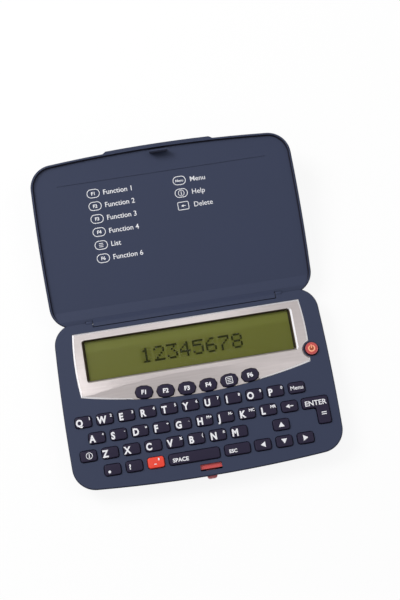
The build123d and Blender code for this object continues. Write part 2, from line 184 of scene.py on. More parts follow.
# %% The edge polish group
def make_edge_polish():
    """A mask that rises towards 1 on edges and is 0 on open faces."""
    tree, given, result = new_group(
        "edge_polish", {"Width": 0.25 * MM, "Amount": 0.5}, {"Mask": 0.0})
    rounded = from_node(tree, "Bevel", {"Radius": given["Width"]}, samples=4)["Normal"]
    normals = {0: rounded, 1: from_node(tree, "NewGeometry")["Normal"]}
    agree = from_node(tree, "VectorMath", normals, operation="DOT_PRODUCT")["Value"]
    differ = maths(tree, "SUBTRACT", 1.0, agree, clamp=True)
    patchy = maths(tree, "MULTIPLY_ADD", noise(tree, 3 * MM), 1.4, 0.3)
    strong = maths(tree, "MULTIPLY", differ, patchy)
    feed(tree, result, {"Mask": maths(tree, "MULTIPLY", strong, given["Amount"], clamp=True)})
    return tree


edge_polish = make_edge_polish()
print("group", edge_polish.name, "with", len(edge_polish.nodes), "nodes")

# %% [markdown]
# ## Finishes
#
# Nearly all of this object is plastic. Each part could get a material built by hand, but they
# differ only in colour, gloss and grain, so one function builds any moulded finish. Colours are
# given as they are seen, from 0 to 255, and turned into the linear values that light is reckoned
# in. Values that are the same all over a surface sit on the shader itself; only what varies comes
# through nodes. A finish may have a second, darker colour on upright walls. This is painted shade,
# and the case uses it so that its walls look as dark as they do in shadow.

# %% Colours and bare materials
def seen(red, green, blue):
    """A colour as seen, 0 to 255, in linear values."""
    def linear(value):
        value /= 255
        return value / 12.92 if value <= 0.04045 else ((value + 0.055) / 1.055) ** 2.4
    return (linear(red), linear(green), linear(blue), 1.0)


def bare_material(name):
    """A material, its node tree and its Principled shader."""
    material = bpy.data.materials.new(name)
    material.use_nodes = True
    return material, material.node_tree, material.node_tree.nodes["Principled BSDF"]


def add_bump(tree, shader, height, depth, strength=0.5):
    """Height in 0 to 1 pushes the surface in and out by depth metres."""
    bump = from_node(tree, "Bump", {"Strength": strength, "Distance": depth, "Height": height})
    feed(tree, shader, {"Normal": bump["Normal"]})


def grained(tree, colour, roughness, size, drift):
    """The outputs of the moulded grain group. size is the grain's, in millimetres."""
    values = {"Colour": colour, "Grain Size": size * MM, "Drift": drift, "Roughness": roughness}
    return from_node(tree, "Group", values, node_tree=moulded_grain)


print("middle grey is", round(seen(128, 128, 128)[0], 3), "in linear values")

# %% Moulded finishes
# the painted shade on upright walls fades in between these two
wall_until, top_from = 0.4, 0.9  # how far the normals of walls and tops point up or down


def moulded(name, colour, roughness, grain_size, grain_depth, drift,
            sheen=0.5, polish=0.0, coat=0.0, metallic=0.0, wall_shade=None):
    """A moulded finish. grain_size, grain_depth in millimetres; wall_shade is painted shade on
    walls.
    """
    material, tree, shader = bare_material(name)
    grain = grained(tree, colour, roughness, grain_size, drift)
    base = grain["Colour"]
    if polish:
        edges = from_node(tree, "Group", {"Amount": polish}, node_tree=edge_polish)
        paler = tuple(min(1.0, c * 1.6 + 0.02) for c in colour[:3]) + (1.0,)
        base = mix_colour(tree, edges["Mask"], base, paler)
    # painted shade: the steeper the face, the nearer its colour comes to wall_shade
    if wall_shade:
        upwards = from_node(tree, "SeparateXYZ", {0: own(tree, "Normal")})["Z"]
        level = maths(tree, "ABSOLUTE", upwards)
        slope = 1 / (top_from - wall_until)
        wall_shade_share = maths(tree, "MULTIPLY_ADD", level, -slope, top_from * slope, clamp=True)
        base = mix_colour(tree, wall_shade_share, base, wall_shade)
    add_bump(tree, shader, grain["Height"], grain_depth * MM)
    feed(tree, shader, {"Base Color": base, "Roughness": grain["Roughness"],
                        "Specular IOR Level": sheen, "Coat Weight": coat, "Metallic": metallic})
    return material


# the case's upright walls are painted darker, as shade
case_blue = moulded("case_blue", seen(51, 58, 81), 0.58, 0.22, 0.012, 0.05, sheen=0.2, polish=0.3,
                    wall_shade=seen(27, 26, 38))
key_dark = moulded("key_dark", seen(37, 32, 53), 0.45, 0.2, 0.008, 0.06, sheen=0.15, polish=0.12)
key_red = moulded("key_red", seen(232, 66, 46), 0.4, 0.2, 0.008, 0.05, sheen=0.35, polish=0.2)
button_red = moulded("button_red", seen(200, 80, 76), 0.36, 0.25, 0.006, 0.05, sheen=0.3)
button_ring = moulded("button_ring", seen(196, 98, 100), 0.4, 0.25, 0.008, 0.05, sheen=0.3)
# painted shade for the power button's wall, which stands in the shadow of its hole
button_wall_shade = moulded("button_wall_shade", seen(66, 10, 6), 0.5, 0.25, 0.008, 0.05, sheen=0.2)
latch_red = moulded("latch_red", seen(200, 70, 70), 0.38, 0.25, 0.010, 0.06, polish=0.3)
mat_rubber = moulded("mat_rubber", seen(70, 70, 74), 0.7, 0.4, 0.02, 0.08, sheen=0.2)
board_green = moulded("board_green", seen(38, 84, 52), 0.4, 0.5, 0.01, 0.1, coat=0.2)
tray_dark = moulded("tray_dark", seen(28, 25, 14), 0.6, 0.3, 0.01, 0.06, sheen=0.1)
pin_steel = moulded("pin_steel", seen(74, 76, 86), 0.4, 0.1, 0.006, 0.06, metallic=1.0)
# painted shade for the walls of the window in the silver frame
frame_wall_shade = moulded("frame_wall_shade", seen(66, 56, 42), 0.6, 0.3, 0.01, 0.06, sheen=0.1)
cell_steel = moulded("cell_steel", seen(186, 186, 182), 0.28, 0.15, 0.004, 0.04, metallic=1.0)
screw_steel = moulded("screw_steel", seen(150, 148, 145), 0.34, 0.1, 0.006, 0.06, metallic=1.0)
print_white = moulded("print_white", seen(236, 236, 240), 0.55, 0.12, 0.004, 0.03, sheen=0.2)
print_amber = moulded("print_amber", seen(255, 178, 142), 0.5, 0.12, 0.004, 0.03, sheen=0.2)
print_brown = moulded("print_brown", seen(158, 74, 46), 0.5, 0.12, 0.004, 0.03, sheen=0.2)
print("moulded finishes:", len(bpy.data.materials))

# %% A painted highlight on the latch's tip
def rise_along_y(tree, start, end):
    """A share that goes from 0 to 1 along the piece's own Y, from start to end."""
    place = from_node(tree, "SeparateXYZ", {0: own(tree)})["Y"]
    return from_node(tree, "MapRange", {"Value": place, "From Min": start, "From Max": end})[0]


def paint_light_towards(material, colour, start, end):
    """Lets a moulded finish turn paler along Y, from start to end: painted light where lamps reach
    little.
    """
    tree = material.node_tree
    shader = tree.nodes["Principled BSDF"]
    base = shader.inputs["Base Color"].links[0].from_socket
    brightened = mix_colour(tree, rise_along_y(tree, start, end), base, colour)
    feed(tree, shader, {"Base Color": brightened})


# painted highlight: the tip in front of the case lies in shade, so it is painted paler
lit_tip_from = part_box("keyboard_housing")[0].y + 0.7 * MM
lit_tip_width = 0.5 * MM
paint_light_towards(latch_red, seen(255, 150, 156), lit_tip_from, lit_tip_from - lit_tip_width)
print("latch worn pale in front of", round(lit_tip_from / MM, 1), "mm")

# %% [markdown]
# ## Silver paint
#
# The display frame is plastic sprayed with silver paint: thousands of tiny metal flakes that lie
# nearly flat, shine like satin metal and sparkle very finely. Plain metal would mirror too sharply.
# So the shader is half metallic, and more so on the polished edges, and small cells of a Voronoi
# pattern tilt the surface a little and vary its roughness, as the flakes do. Noise drawn out along
# the frame adds faint streaks.
#
# The window over the display is clear plastic. A glass shader would do, but the window is thin, so
# a low alpha with faint scuffs in its gloss looks the same and renders faster.

# %% Silver paint and clear plastic
flake_size = 0.09 * MM


def make_silver_paint(name, dark, light, metallic, roughness):
    """Sprayed silver, streaked between two greys."""
    material, tree, shader = bare_material(name)
    flakes = from_node(tree, "TexVoronoi", {"Scale": 1 / flake_size, "Vector": own(tree)})
    chance = from_node(tree, "SeparateColor", {0: flakes["Color"]})
    streaks = noise(tree, 2 * MM, 3.0, stretch=(0.12, 3.0, 1.0))
    grain = grained(tree, mix_colour(tree, streaks, dark, light), roughness, 0.15, 0.05)
    rough = maths(tree, "MULTIPLY_ADD", chance[0], 0.06, grain["Roughness"])
    add_bump(tree, shader, chance[1], 0.003 * MM, 0.4)
    feed(tree, shader, {"Base Color": grain["Colour"], "Roughness": rough, "Metallic": metallic})
    return material


def make_clear_plastic():
    """All but clear, with faint scuffs in its gloss."""
    material, tree, shader = bare_material("clear_plastic")
    rough = maths(tree, "MULTIPLY_ADD", noise(tree, 6 * MM, 3.0), 0.06, 0.05)
    feed(tree, shader, {"Base Color": seen(110, 112, 80), "Roughness": rough, "Alpha": 0.035})
    return material


silver_paint = make_silver_paint("silver_paint", seen(176, 168, 167), seen(194, 186, 185),
                                 metallic=0.5, roughness=0.12)
silver_edge = make_silver_paint("silver_edge", seen(228, 226, 229), seen(240, 238, 241),
                                metallic=0.85, roughness=0.2)
clear_plastic = make_clear_plastic()
print(silver_paint.name, "and", clear_plastic.name)

# %% [markdown]
# ## Dressing a construction node
#
# Most shells already have the right shape, and only lack what a mould gives for free: edges that
# are never quite sharp. They could be rounded one by one, but a Bevel modifier rounds every edge
# above a certain angle and leaves the mesh alone. The imported mesh is cut apart along its creases,
# so a Weld modifier joins it first, and weighted normals keep flat faces flat in the light.

# %% Softened edges for construction nodes
def dress(name, material, edge=0.0, clamp=True):
    """A construction node gets its finish and, if edge isn't 0, edges rounded by edge mm."""
    piece = nodes[name]
    for place in piece.material_slots:
        place.material = material
    if not piece.material_slots:
        piece.data.materials.append(material)
    if edge:
        adjust(piece.modifiers.new("join creases", "WELD"), merge_threshold=0.001 * MM)
        adjust(piece.modifiers.new("soft edges", "BEVEL"), width=edge * MM, segments=2,
               limit_method="ANGLE", angle_limit=radians(30), use_clamp_overlap=clamp,
               miter_outer="MITER_ARC")
        adjust(piece.modifiers.new("even shading", "WEIGHTED_NORMAL"), keep_sharp=True)


# clamping holds a bevel back to the shortest edge, and the housing's openings have very short ones
dress("keyboard_housing", case_blue, 0.07, clamp=False)
dress("bottom_case", case_blue, 0.15)
dress("lid", case_blue, 0.15)
dress("battery_door", case_blue, 0.1)
dress("latch_slide", latch_red, 0.12)
dress("display_window", clear_plastic)
dress("lcd_module", tray_dark)
dress("circuit_board", board_green)
dress("key_mat", mat_rubber)
dress("coin_cells", cell_steel, 0.1)
dress("hinge_pins", pin_steel)
dress("screws", screw_steel, 0.1)
dress("latch_spring", screw_steel)
print("dressed the shells and the inner pieces")

# %% [markdown]
# ## The silver frame
#
# In the photograph the outer edge of the frame shines as a broad, polished bevel, and so does the
# right side of the window; its other sides drop straight into shadow. One Bevel modifier can't do
# all that, so a copy of the construction mesh is opened for editing, and each kind of edge gets a
# width of its own. A bevel comes out at 45 degrees. Raising its lower points makes it flatter and
# lowering them makes it steeper, until it mirrors the lamps and not the table.

# %% Kinds of edges on the silver frame
def middle_of(node):
    """The middle of a node's box, seen from above."""
    low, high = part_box(node)
    return Vector(((low.x + high.x) / 2, (low.y + high.y) / 2, 0))


def from_hinge(point):
    """X and Y of a point, in millimetres from the middle of the hinge."""
    return point.x / MM, (point.y - hinge_y) / MM


# in the millimetres of from_hinge
window_side, window_front, window_rear = 50.4, -28.4, -8.0  # just outside the window
right_wall, rear_wall = 47.5, -10.0  # the window's right and rear walls lie beyond these
shiny_side, shiny_rear = 30.0, -5.0  # the outer edge is polished beyond these


def near_window(x, y):
    """Whether a place on the frame belongs to the window."""
    return abs(x) < window_side and window_front < y < window_rear


def frame_edge_kind(edge):
    """Which bevel an edge of the frame's top gets, from where its middle lies."""
    slopes = sorted(face.normal.z for face in edge.link_faces)
    if len(slopes) != 2 or slopes[1] < 0.9 or slopes[0] > 0.7:
        return None  # it doesn't lie between the top and a wall
    x, y = from_hinge((edge.verts[0].co + edge.verts[1].co) / 2)
    if near_window(x, y):
        return "window" if x > right_wall else "plain"
    return "outer" if y > shiny_rear or abs(x) > shiny_side else "plain"


print("the window reaches", window_side, "mm to each side")

# %% The frame's own mesh
frame_mesh = bmesh.new()
frame_mesh.from_mesh(nodes["display_frame"].data)
bmesh.ops.remove_doubles(frame_mesh, verts=frame_mesh.verts, dist=0.001 * MM)
bmesh.ops.dissolve_limit(frame_mesh, angle_limit=radians(0.05), verts=frame_mesh.verts,
                         edges=frame_mesh.edges)
frame_mesh.normal_update()
painted, shiny, shaded_wall = range(3)  # the frame's materials, by number
for face in frame_mesh.faces:
    face.material_index = painted
    is_wall = abs(face.normal.z) < 0.8 and near_window(*from_hinge(face.calc_center_median()))
    if is_wall and face.normal.y < 0.6:
        face.material_index = shaded_wall  # painted shade: every window wall but the front one is dark, as if in shadow

frame_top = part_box("display_frame")[1].z
wall_foot = frame_top - 1 * MM  # points below this are at the foot of a wall
bevel_room = 0.95 * MM  # the right wall makes room for its broad bevel
foot_shift = 0.5 * MM  # the rear wall stands steeper
for vertex in frame_mesh.verts:
    x, y = from_hinge(vertex.co)
    if near_window(x, y):
        if x > right_wall:
            vertex.co.x -= bevel_room
        if y > rear_wall and vertex.co.z < wall_foot:
            vertex.co.y += foot_shift
print("frame mesh:", len(frame_mesh.faces), "faces, its top at", round(frame_top / MM, 2), "mm")

# %% Bevels of the silver frame
power_centre = middle_of("power_button")
notch_reach = 4.6 * MM  # from the power button's middle to beyond its notch
# how far each kind reaches across the top and down the wall, in millimetres
for kind, width, drop in (("window", 0.5, 0.73), ("outer", 0.66, 0.44), ("plain", 0.06, 0.06)):
    edges = [edge for edge in frame_mesh.edges if frame_edge_kind(edge) == kind]
    made = bmesh.ops.bevel(frame_mesh, geom=edges, offset=width * MM, offset_type="OFFSET",
                           segments=1, affect="EDGES", clamp_overlap=False,
                           material=-1 if kind == "plain" else shiny)
    lower = set()
    for face in made["faces"]:
        from_button = face.calc_center_median().xy - power_centre.xy
        if from_button.length < notch_reach and from_button.y < 0:
            face.material_index = painted  # the notch is polished only above the button
        highest = max(vertex.co.z for vertex in face.verts)
        lower |= {vertex for vertex in face.verts if vertex.co.z < highest - 0.5 * width * MM}
    for vertex in lower:
        vertex.co.z = min(vertex.co.z + (width - drop) * MM, frame_top)
    print(kind, "edges:", len(edges), "points moved:", len(lower))

# %% A new top for the frame
frame_mesh.normal_update()
old_top = [face for face in frame_mesh.faces if face.normal.z > 0.9995
           and min(vertex.co.z for vertex in face.verts) > frame_top - 0.01 * MM]
bmesh.ops.delete(frame_mesh, geom=old_top, context="FACES_KEEP_BOUNDARY")
rim = [edge for edge in frame_mesh.edges if len(edge.link_faces) < 2]
filled = bmesh.ops.triangle_fill(frame_mesh, edges=rim, use_beauty=True, normal=(0, 0, 1))["geom"]
new_top = [item for item in filled if isinstance(item, bmesh.types.BMFace)]
for face in new_top:
    face.normal_update()
    if face.normal.z < 0:
        face.normal_flip()
print("top filled anew:", len(new_top), "triangles,",
      round(sum(face.calc_area() for face in new_top) / MM ** 2), "square mm")

# %% The frame as a piece
def add_object(name, data):
    """An object in the scene."""
    made = bpy.data.objects.new(name, data)
    bpy.context.scene.collection.objects.link(made)
    return made


crease, flat_crease = radians(24), radians(1.5)
frame_mesh.normal_update()
for face in frame_mesh.faces:
    face.smooth = True
for edge in frame_mesh.edges:
    # the crease of the lens-shaped facet is flat, and yet it is an edge
    both_flat = all(face.normal.z > 0.99 for face in edge.link_faces)
    edge.smooth = edge.calc_face_angle(0) < (flat_crease if both_flat else crease)
polished = bpy.data.meshes.new("display_frame_polished")
frame_mesh.to_mesh(polished)
frame_mesh.free()
for material in (silver_paint, silver_edge, frame_wall_shade):
    polished.materials.append(material)
silver_frame = add_object("display_frame_polished", polished)
adjust(silver_frame.modifiers.new("even shading", "WEIGHTED_NORMAL"), keep_sharp=True)
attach(silver_frame, "base")
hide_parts("display_frame")
print("silver frame has", len(polished.polygons), "faces")

# %% [markdown]
# ## Keys
#
# A key is a small moulded cap. Seen from above it is a rectangle with rounded corners; its walls
# draw in a little towards the top, and the top edge is rounded so that it feels soft. A bevelled
# box would have neither the leaning walls nor the collar under the surface, so each cap is a stack
# of rings joined into one skin: collar, wall, rounded edge, and the flat top that carries the
# printing. One outline function gives the rings, so keys of every size have the same corners.

# %% Outlines
def arc_points(x, y, radius, start, end, steps):
    """Points along an arc, both ends included. Angles in degrees."""
    turn = [radians(start + (end - start) * i / steps) for i in range(steps + 1)]
    return [(x + radius * cos(a), y + radius * sin(a)) for a in turn]


def circle(x, y, radius, steps):
    """Points round a full circle."""
    return arc_points(x, y, radius, 0, 360, steps)[:-1]


def soft_rectangle(width, depth, corner, steps=6):
    """A rectangle with rounded corners about the origin."""
    w, d = width / 2 - corner, depth / 2 - corner
    points = []
    for x, y, start in ((w, d, 0), (-w, d, 90), (-w, -d, 180), (w, -d, 270)):
        points += arc_points(x, y, corner, start, start + 90, steps)
    return points


def soft_corners(corners, radius):
    """A closed outline of right angles, every corner rounded."""
    points = []
    steps = 6
    for i, here in enumerate(corners):
        here = Vector(here)
        back = (Vector(corners[i - 1]) - here).normalized()
        on = (Vector(corners[(i + 1) % len(corners)]) - here).normalized()
        centre = here + (back + on) * radius
        for step in range(steps + 1):
            angle = pi / 2 * step / steps
            points.append(tuple(centre - on * radius * cos(angle) - back * radius * sin(angle)))
    return points


print("a key's corner has", len(soft_rectangle(8, 5, 1)) // 4, "points")

# %% From rings to a skin
sharp_from = radians(35)  # edges are smooth up to this angle


def mesh_piece(name, points, faces, material, slot):
    """A mesh object from points in metres, shaded smooth except over sharp edges."""
    mesh = bpy.data.meshes.new(name)
    mesh.from_pydata(points, [], faces)
    mesh.validate()
    mesh.materials.append(material)
    piece = add_object(name, mesh)
    mesh.shade_smooth()
    mesh.set_sharp_from_angle(angle=sharp_from)
    return piece


def skin(rings):
    """Points and faces of a closed skin through rings of equal length, capped at both ends."""
    count = len(rings[0])
    points = [point for ring in rings for point in ring]
    faces = [tuple(reversed(range(count)))]
    for level in range(len(rings) - 1):
        for i in range(count):
            j = (i + 1) % count
            low, high = level * count, (level + 1) * count
            faces.append((low + i, low + j, high + j, high + i))
    faces.append(tuple(range(len(points) - count, len(points))))
    return points, faces


print("edges over", round(degrees(sharp_from)), "degrees stay sharp")

# %% The cap of a key
collar = 0.5 * MM  # the collar is wider than the cap, all round
collar_height = 0.75 * MM
key_draw_in = 0.2 * MM  # how far the walls lean in
key_edge = 0.3 * MM  # radius of the top edge
key_corner = 1.2 * MM  # radius of a corner seen from above
least_corner = 0.4 * MM


def cap_profile(foot, top):
    """(inset, height) pairs from the collar up to the flat top."""
    profile = [(-collar, foot), (-collar, foot + collar_height), (0, foot + collar_height),
               (key_draw_in * 0.7, top - key_edge)]
    steps = 5
    for i in range(1, steps + 1):
        angle = pi / 2 * i / steps
        inset = key_draw_in + key_edge * (1 - cos(angle))
        profile.append((inset, top - key_edge + key_edge * sin(angle)))
    return profile


def make_cap(node, outline, place, material=key_dark, slot="key_plastic"):
    """The cap that stands for a construction node. outline(inset) gives its points."""
    low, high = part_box(node)
    rings = [[place @ Vector((x, y, z)) for x, y in outline(inset)]
             for inset, z in cap_profile(low.z, high.z)]
    piece = mesh_piece(node + "_cap", *skin(rings), material, slot)
    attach(piece, node + "_body")
    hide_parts(node)


print("a cap has", len(cap_profile(0, 0)), "rings")

# %% The keys of the four rows
def key_outline(node):
    """The outline function of a key, from the size of the node's box."""
    low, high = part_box(node)
    width, depth = high.x - low.x - 2 * collar, high.y - low.y - 2 * collar

    def outline(inset):
        corner = max(key_corner - inset, least_corner)
        return soft_rectangle(width - 2 * inset, depth - 2 * inset, corner)

    return outline


others = ("key_mat", "key_enter")
row_keys = [name for name in nodes if name.startswith("key_") and name not in others]
for name in row_keys:
    finish = (key_red, "red_plastic") if name == "key_hyphen" else (key_dark, "key_plastic")
    make_cap(name, key_outline(name), Matrix.Translation(middle_of(name)), *finish)
print("caps made for", len(row_keys), "keys")

# %% The L-shaped ENTER key
enter_low, enter_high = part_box("key_enter")
enter_bar_depth = 5.2 * MM  # the bar across the top of the L
enter_leg_width = 6.1 * MM  # the leg down its right side


def enter_outline(inset):
    """The L of the ENTER key, in place."""
    left, right = enter_low.x + collar + inset, enter_high.x - collar - inset
    front, rear = enter_low.y + collar + inset, enter_high.y - collar - inset
    bar_front = enter_high.y - collar - enter_bar_depth + inset
    leg_left = enter_high.x - collar - enter_leg_width + inset
    corners = [(leg_left, front), (right, front), (right, rear), (left, rear),
               (left, bar_front), (leg_left, bar_front)]
    return soft_corners(corners, max(key_corner - inset, least_corner))


make_cap("key_enter", enter_outline, Matrix.Identity(4))
print("ENTER spans", [round((enter_high - enter_low)[i] / MM, 1) for i in range(2)], "mm")

# %% [markdown]
# ## Function keys
#
# The six function keys are capsules that follow the bow of the frame's lower edge, so each one is
# turned a little. Six angles could be typed in, but the bow gives them: it is a circle about a
# point far behind, and a key's turn is the angle at which that circle passes it.

# %% The function keys
frame_bow = 222.0 * MM  # radius
capsule_width, capsule_depth, capsule_corner = 8.2 * MM, 5.9 * MM, 2.8 * MM


def capsule_outline(inset):
    """The outline of a function key about the origin."""
    return soft_rectangle(capsule_width - 2 * inset, capsule_depth - 2 * inset,
                          capsule_corner - inset, 9)


function_places = {}
for name in sorted(n for n in nodes if n.startswith("function_key_")):
    centre = middle_of(name)
    turn = asin(centre.x / frame_bow)
    function_places[name] = Matrix.Translation(centre) @ Matrix.Rotation(turn, 4, "Z")
    make_cap(name, capsule_outline, function_places[name])
print(len(function_places), "function keys, the last turned", round(degrees(turn), 1), "deg")

# %% [markdown]
# ## Power button
#
# A round button is a turned shape, and so it is made as one: a single profile, swept about an
# upright axis. The profile rises from the collar, rounds over into a rim, drops into a fine groove
# and comes up again to a slightly domed face. The rim is a little paler than the face, and the wall
# under it is painted dark as shade, so each gets a material of its own.

# %% The power button
power_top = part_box("power_button")[1].z
button_profile = [  # (radius, depth under the top), in millimetres
    (3.65, 3.45), (3.65, 2.75), (3.12, 2.75), (3.12, 0.6), (3.05, 0.32), (2.9, 0.14), (2.72, 0.1),
    (2.6, 0.16), (2.55, 0.24), (2.45, 0.24), (2.4, 0.1), (2.3, 0.02), (1.5, 0.0), (0.8, 0.0)]
face_radius, rim_radius = 2.4 * MM, 2.9 * MM
around = 48
rings = [
    [(x, y, power_top - depth * MM)
     for x, y in circle(power_centre.x, power_centre.y, radius * MM, around)]
    for radius, depth in button_profile]
power_cap = mesh_piece("power_button_cap", *skin(rings), button_ring, "red_plastic")
power_cap.data.materials.append(button_red)
power_cap.data.materials.append(button_wall_shade)
for face in power_cap.data.polygons:
    from_middle = (face.center.xy - power_centre.xy).length
    if from_middle < face_radius:
        face.material_index = 1
    # painted shade: the wall under the rim is dark
    elif from_middle > rim_radius:
        face.material_index = 2
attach(power_cap, "power_button_body")
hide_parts("power_button")
print("power button:", around, "steps round,", len(button_profile), "rings")

# %% [markdown]
# ## Printing
#
# Legends are printed in a film of ink a few hundredths of a millimetre thick. An image of them
# would blur close up, so Blender's own typeface is turned into meshes, and thickened by an offset,
# since keys are printed in bold. Letters are placed by the height of a capital, as a drawing of a
# keyboard would say it, so the script first measures how tall a capital comes out.

# %% Letters as thin meshes
ink = 0.02 * MM  # thickness of the printing
ink_clear = 0.005 * MM  # its underside stands this far off the surface


def letter_mesh(text, size, weight, align="CENTER"):
    """A mesh of a word about the origin. weight thickens the strokes, as a share of the size."""
    curve = adjust(bpy.data.curves.new("word", "FONT"), body=text, size=size,
                   offset=weight * size, extrude=ink / 2, align_x=align, resolution_u=3)
    holder = add_object("word", curve)
    bpy.context.view_layer.update()
    typeset = holder.evaluated_get(bpy.context.evaluated_depsgraph_get())
    made = bpy.data.meshes.new_from_object(typeset)
    bpy.data.objects.remove(holder)
    bpy.data.curves.remove(curve)
    return made


def reach(mesh, axis):
    """Lowest and highest coordinate of a mesh along one axis."""
    values = [v.co[axis] for v in mesh.vertices]
    return min(values), max(values)


capital_foot, capital_head = reach(letter_mesh("H", 1.0, 0.0), 1)
capital_height = capital_head - capital_foot
print("a capital is", round(capital_height, 3), "of the type size")

# %% Words and flat shapes
def word(text, x, y, cap_height, weight, align="CENTER", width=None, squeeze=1.0):
    """Points and faces of a word whose capitals are cap_height mm, centred on height y (mm).

    Squeeze narrows the letters; a width in mm sets it so that the word comes out that wide.
    """
    mesh = letter_mesh(text, cap_height / capital_height * MM, weight, align)
    if width:
        low, high = reach(mesh, 0)
        squeeze = width * MM / (high - low)
    rise = y * MM - cap_height * MM / 2
    points = [Vector((v.co.x * squeeze + x * MM, v.co.y + rise, v.co.z)) for v in mesh.vertices]
    faces = [tuple(face.vertices) for face in mesh.polygons]
    bpy.data.meshes.remove(mesh)
    return points, faces


def flat_shape(outline, hole=(), x=0, y=0):
    """Points and faces of a thin solid, moved by x and y mm. A hole has as many points."""
    foot, head = ([Vector((px + x * MM, py + y * MM, z)) for px, py in [*outline, *hole]]
                  for z in (-ink / 2, ink / 2))
    if not hole:
        return skin([foot, head])
    count, half = len(outline), len(foot)
    faces = []
    for i in range(count):
        j = (i + 1) % count
        faces += [(i, j, half + j, half + i), (j, i, count + i, count + j),
                  (count + j, count + i, half + count + i, half + count + j),
                  (half + i, half + j, half + count + j, half + count + i)]
    return foot + head, faces


print("words and signs are", ink / MM, "mm thick")

# %% Signs, in millimetres
def ring_mark(x, y, outer, inner):
    """A printed ring, from its two radii."""
    return flat_shape(circle(0, 0, outer * MM, 32), circle(0, 0, inner * MM, 32), x, y)


def dot_mark(x, y, radius):
    """A printed dot."""
    return flat_shape(circle(0, 0, radius * MM, 20), (), x, y)


def arrow_mark(x, y, direction, width=2.7, height=2.2):
    """A printed triangle that points up, left, down or right."""
    w, h = width / 2 * MM, height / 2 * MM
    turn = Matrix.Rotation(radians(90 * ("up", "left", "down", "right").index(direction)), 2)
    return flat_shape([turn @ Vector(corner) for corner in ((-w, -h), (w, -h), (0, h))], (), x, y)


def bar_mark(x, y, width, height):
    """A printed bar."""
    w, h = width / 2 * MM, height / 2 * MM
    return flat_shape([(-w, -h), (w, -h), (w, h), (-w, h)], (), x, y)


def capsule_mark(x, y, width, height, line, corner):
    """A printed capsule outline."""
    outer = soft_rectangle(width * MM, height * MM, corner * MM)
    inner = soft_rectangle((width - 2 * line) * MM, (height - 2 * line) * MM, (corner - line) * MM)
    return flat_shape(outer, inner, x, y)


def print_marks(name, marks, place, body, material=print_white, slot="key_plastic"):
    """Joins marks into one piece, lays it by a matrix and lets it ride on a body."""
    points, faces = [], []
    for mark_points, mark_faces in marks:
        start = len(points)
        points += [place @ point for point in mark_points]
        faces += [tuple(start + i for i in face) for face in mark_faces]
    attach(mesh_piece(name, points, faces, material, slot), body)


print("signs: rings, dots, arrows, bars and capsules")

# %% Legends of the letter keys
lift = ink / 2 + ink_clear
to_key_top = Matrix.Translation((0, 0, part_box("key_q")[1].z + lift))


def print_on_key(name, marks):
    """Lays marks on top of a key, about its middle."""
    place = to_key_top @ Matrix.Translation(middle_of("key_" + name))
    print_marks("legend_" + name, marks, place, f"key_{name}_body")


second_marks = dict(zip("qwertyuiop", "1234567890"))
second_marks |= dict(zip("asdfg", "+-×÷.")) | dict(zip("vbn", "%(±"))
second_marks |= {"h": "M+", "j": "M-", "k": "MC", "l": "MR"}
second_x = {1: 2.9, 2: 2.3}  # by the number of signs in the second mark
second_y, second_height = 1.15, 1.25
letter_x, letter_y, letter_height = -3.45, -0.3, 3.05
for letter in "qwertyuiopasdfghjklzxcvbnm":
    marks = [word(letter.upper(), letter_x, letter_y, letter_height, 0.04, "LEFT", squeeze=0.86)]
    second = second_marks.get(letter)
    if second:
        marks.append(word(second, second_x[len(second)], second_y, second_height, 0.035))
    print_on_key(letter, marks)
print("letters printed, with", len(second_marks), "second marks")

# %% Legends of the other keys
other_legends = {
    "menu": [word("Menu", 0, -0.05, 1.75, 0.014, width=5.9)],
    "correct": [arrow_mark(-0.95, 0, "left", 1.9, 1.8), bar_mark(0.75, 0, 2.0, 0.45)],
    "info": [ring_mark(0.35, 0, 1.55, 1.25), word("i", 0.35, 0, 1.75, 0.04)],
    "period": [dot_mark(-1.5, -0.9, 0.65)],
    "question": [word("?", -2.0, -0.2, 2.1, 0.035)],
    "hyphen": [bar_mark(-0.4, -0.8, 1.1, 0.4), word("'", 1.4, 0.4, 2.2, 0.045)],
    "space": [word("SPACE", -6.4, -0.57, 1.7, 0.03, width=7.3)],
    "escape": [word("ESC", -2.1, -0.6, 1.55, 0.03)]}
for direction in ("up", "left", "down", "right"):
    other_legends[direction] = [arrow_mark(0, 0, direction)]
for name, marks in other_legends.items():
    print_on_key(name, marks)
enter_corner = Matrix.Translation((enter_high.x - collar, enter_high.y - collar, 0))
enter_marks = [word("ENTER", -6.0, -2.95, 2.25, 0.018, width=10.0),
               bar_mark(-2.9, -7.8, 2.3, 0.42), bar_mark(-2.9, -8.7, 2.3, 0.42)]
print_marks("legend_enter", enter_marks, to_key_top @ enter_corner, "key_enter_body")
print(len(other_legends) + 1, "more legends")

# %% Legends of the function keys and the power button
list_sign = [capsule_mark(0, 0, 3.2, 3.4, 0.3, 0.5)]
list_sign += [bar_mark(0, y, 1.8, 0.3) for y in (0.8, 0, -0.8)]
for name, place in function_places.items():
    number = name[-1]
    marks = list_sign if number == "5" else [word("F" + number, 0, 0, 1.9, 0.04)]
    print_marks("function_legend_" + number, marks, to_key_top @ place, name + "_body")

opening = 28  # degrees that the power sign is open to each side
symbol_arc = arc_points(0, 0, 1.65 * MM, 90 + opening, 450 - opening, 28)
symbol_arc += arc_points(0, 0, 1.05 * MM, 450 - opening, 90 + opening, 28)
symbol = [flat_shape(symbol_arc), bar_mark(0, 0.95, 0.5, 1.7)]
power_place = Matrix.Translation((power_centre.x, power_centre.y, power_top + lift))
print_marks("power_symbol_ground", [dot_mark(0, 0, 1.15)], power_place, "power_button_body",
            print_brown)
power_place = power_place @ Matrix.Translation((0, 0, ink))
print_marks("power_symbol", symbol, power_place, "power_button_body", print_amber)
print("function keys and power button printed")

# %% [markdown]
# ## The display
#
# Under the clear window lies the glass of a liquid crystal display, with an olive green reflector.
# Its characters are made of small square dots, five across and seven down; dots that are off show
# very faintly. An image could hold them, but dots made one by one stay sharp, and their pattern can
# be read in the script: each digit of the row is seven groups of five signs.

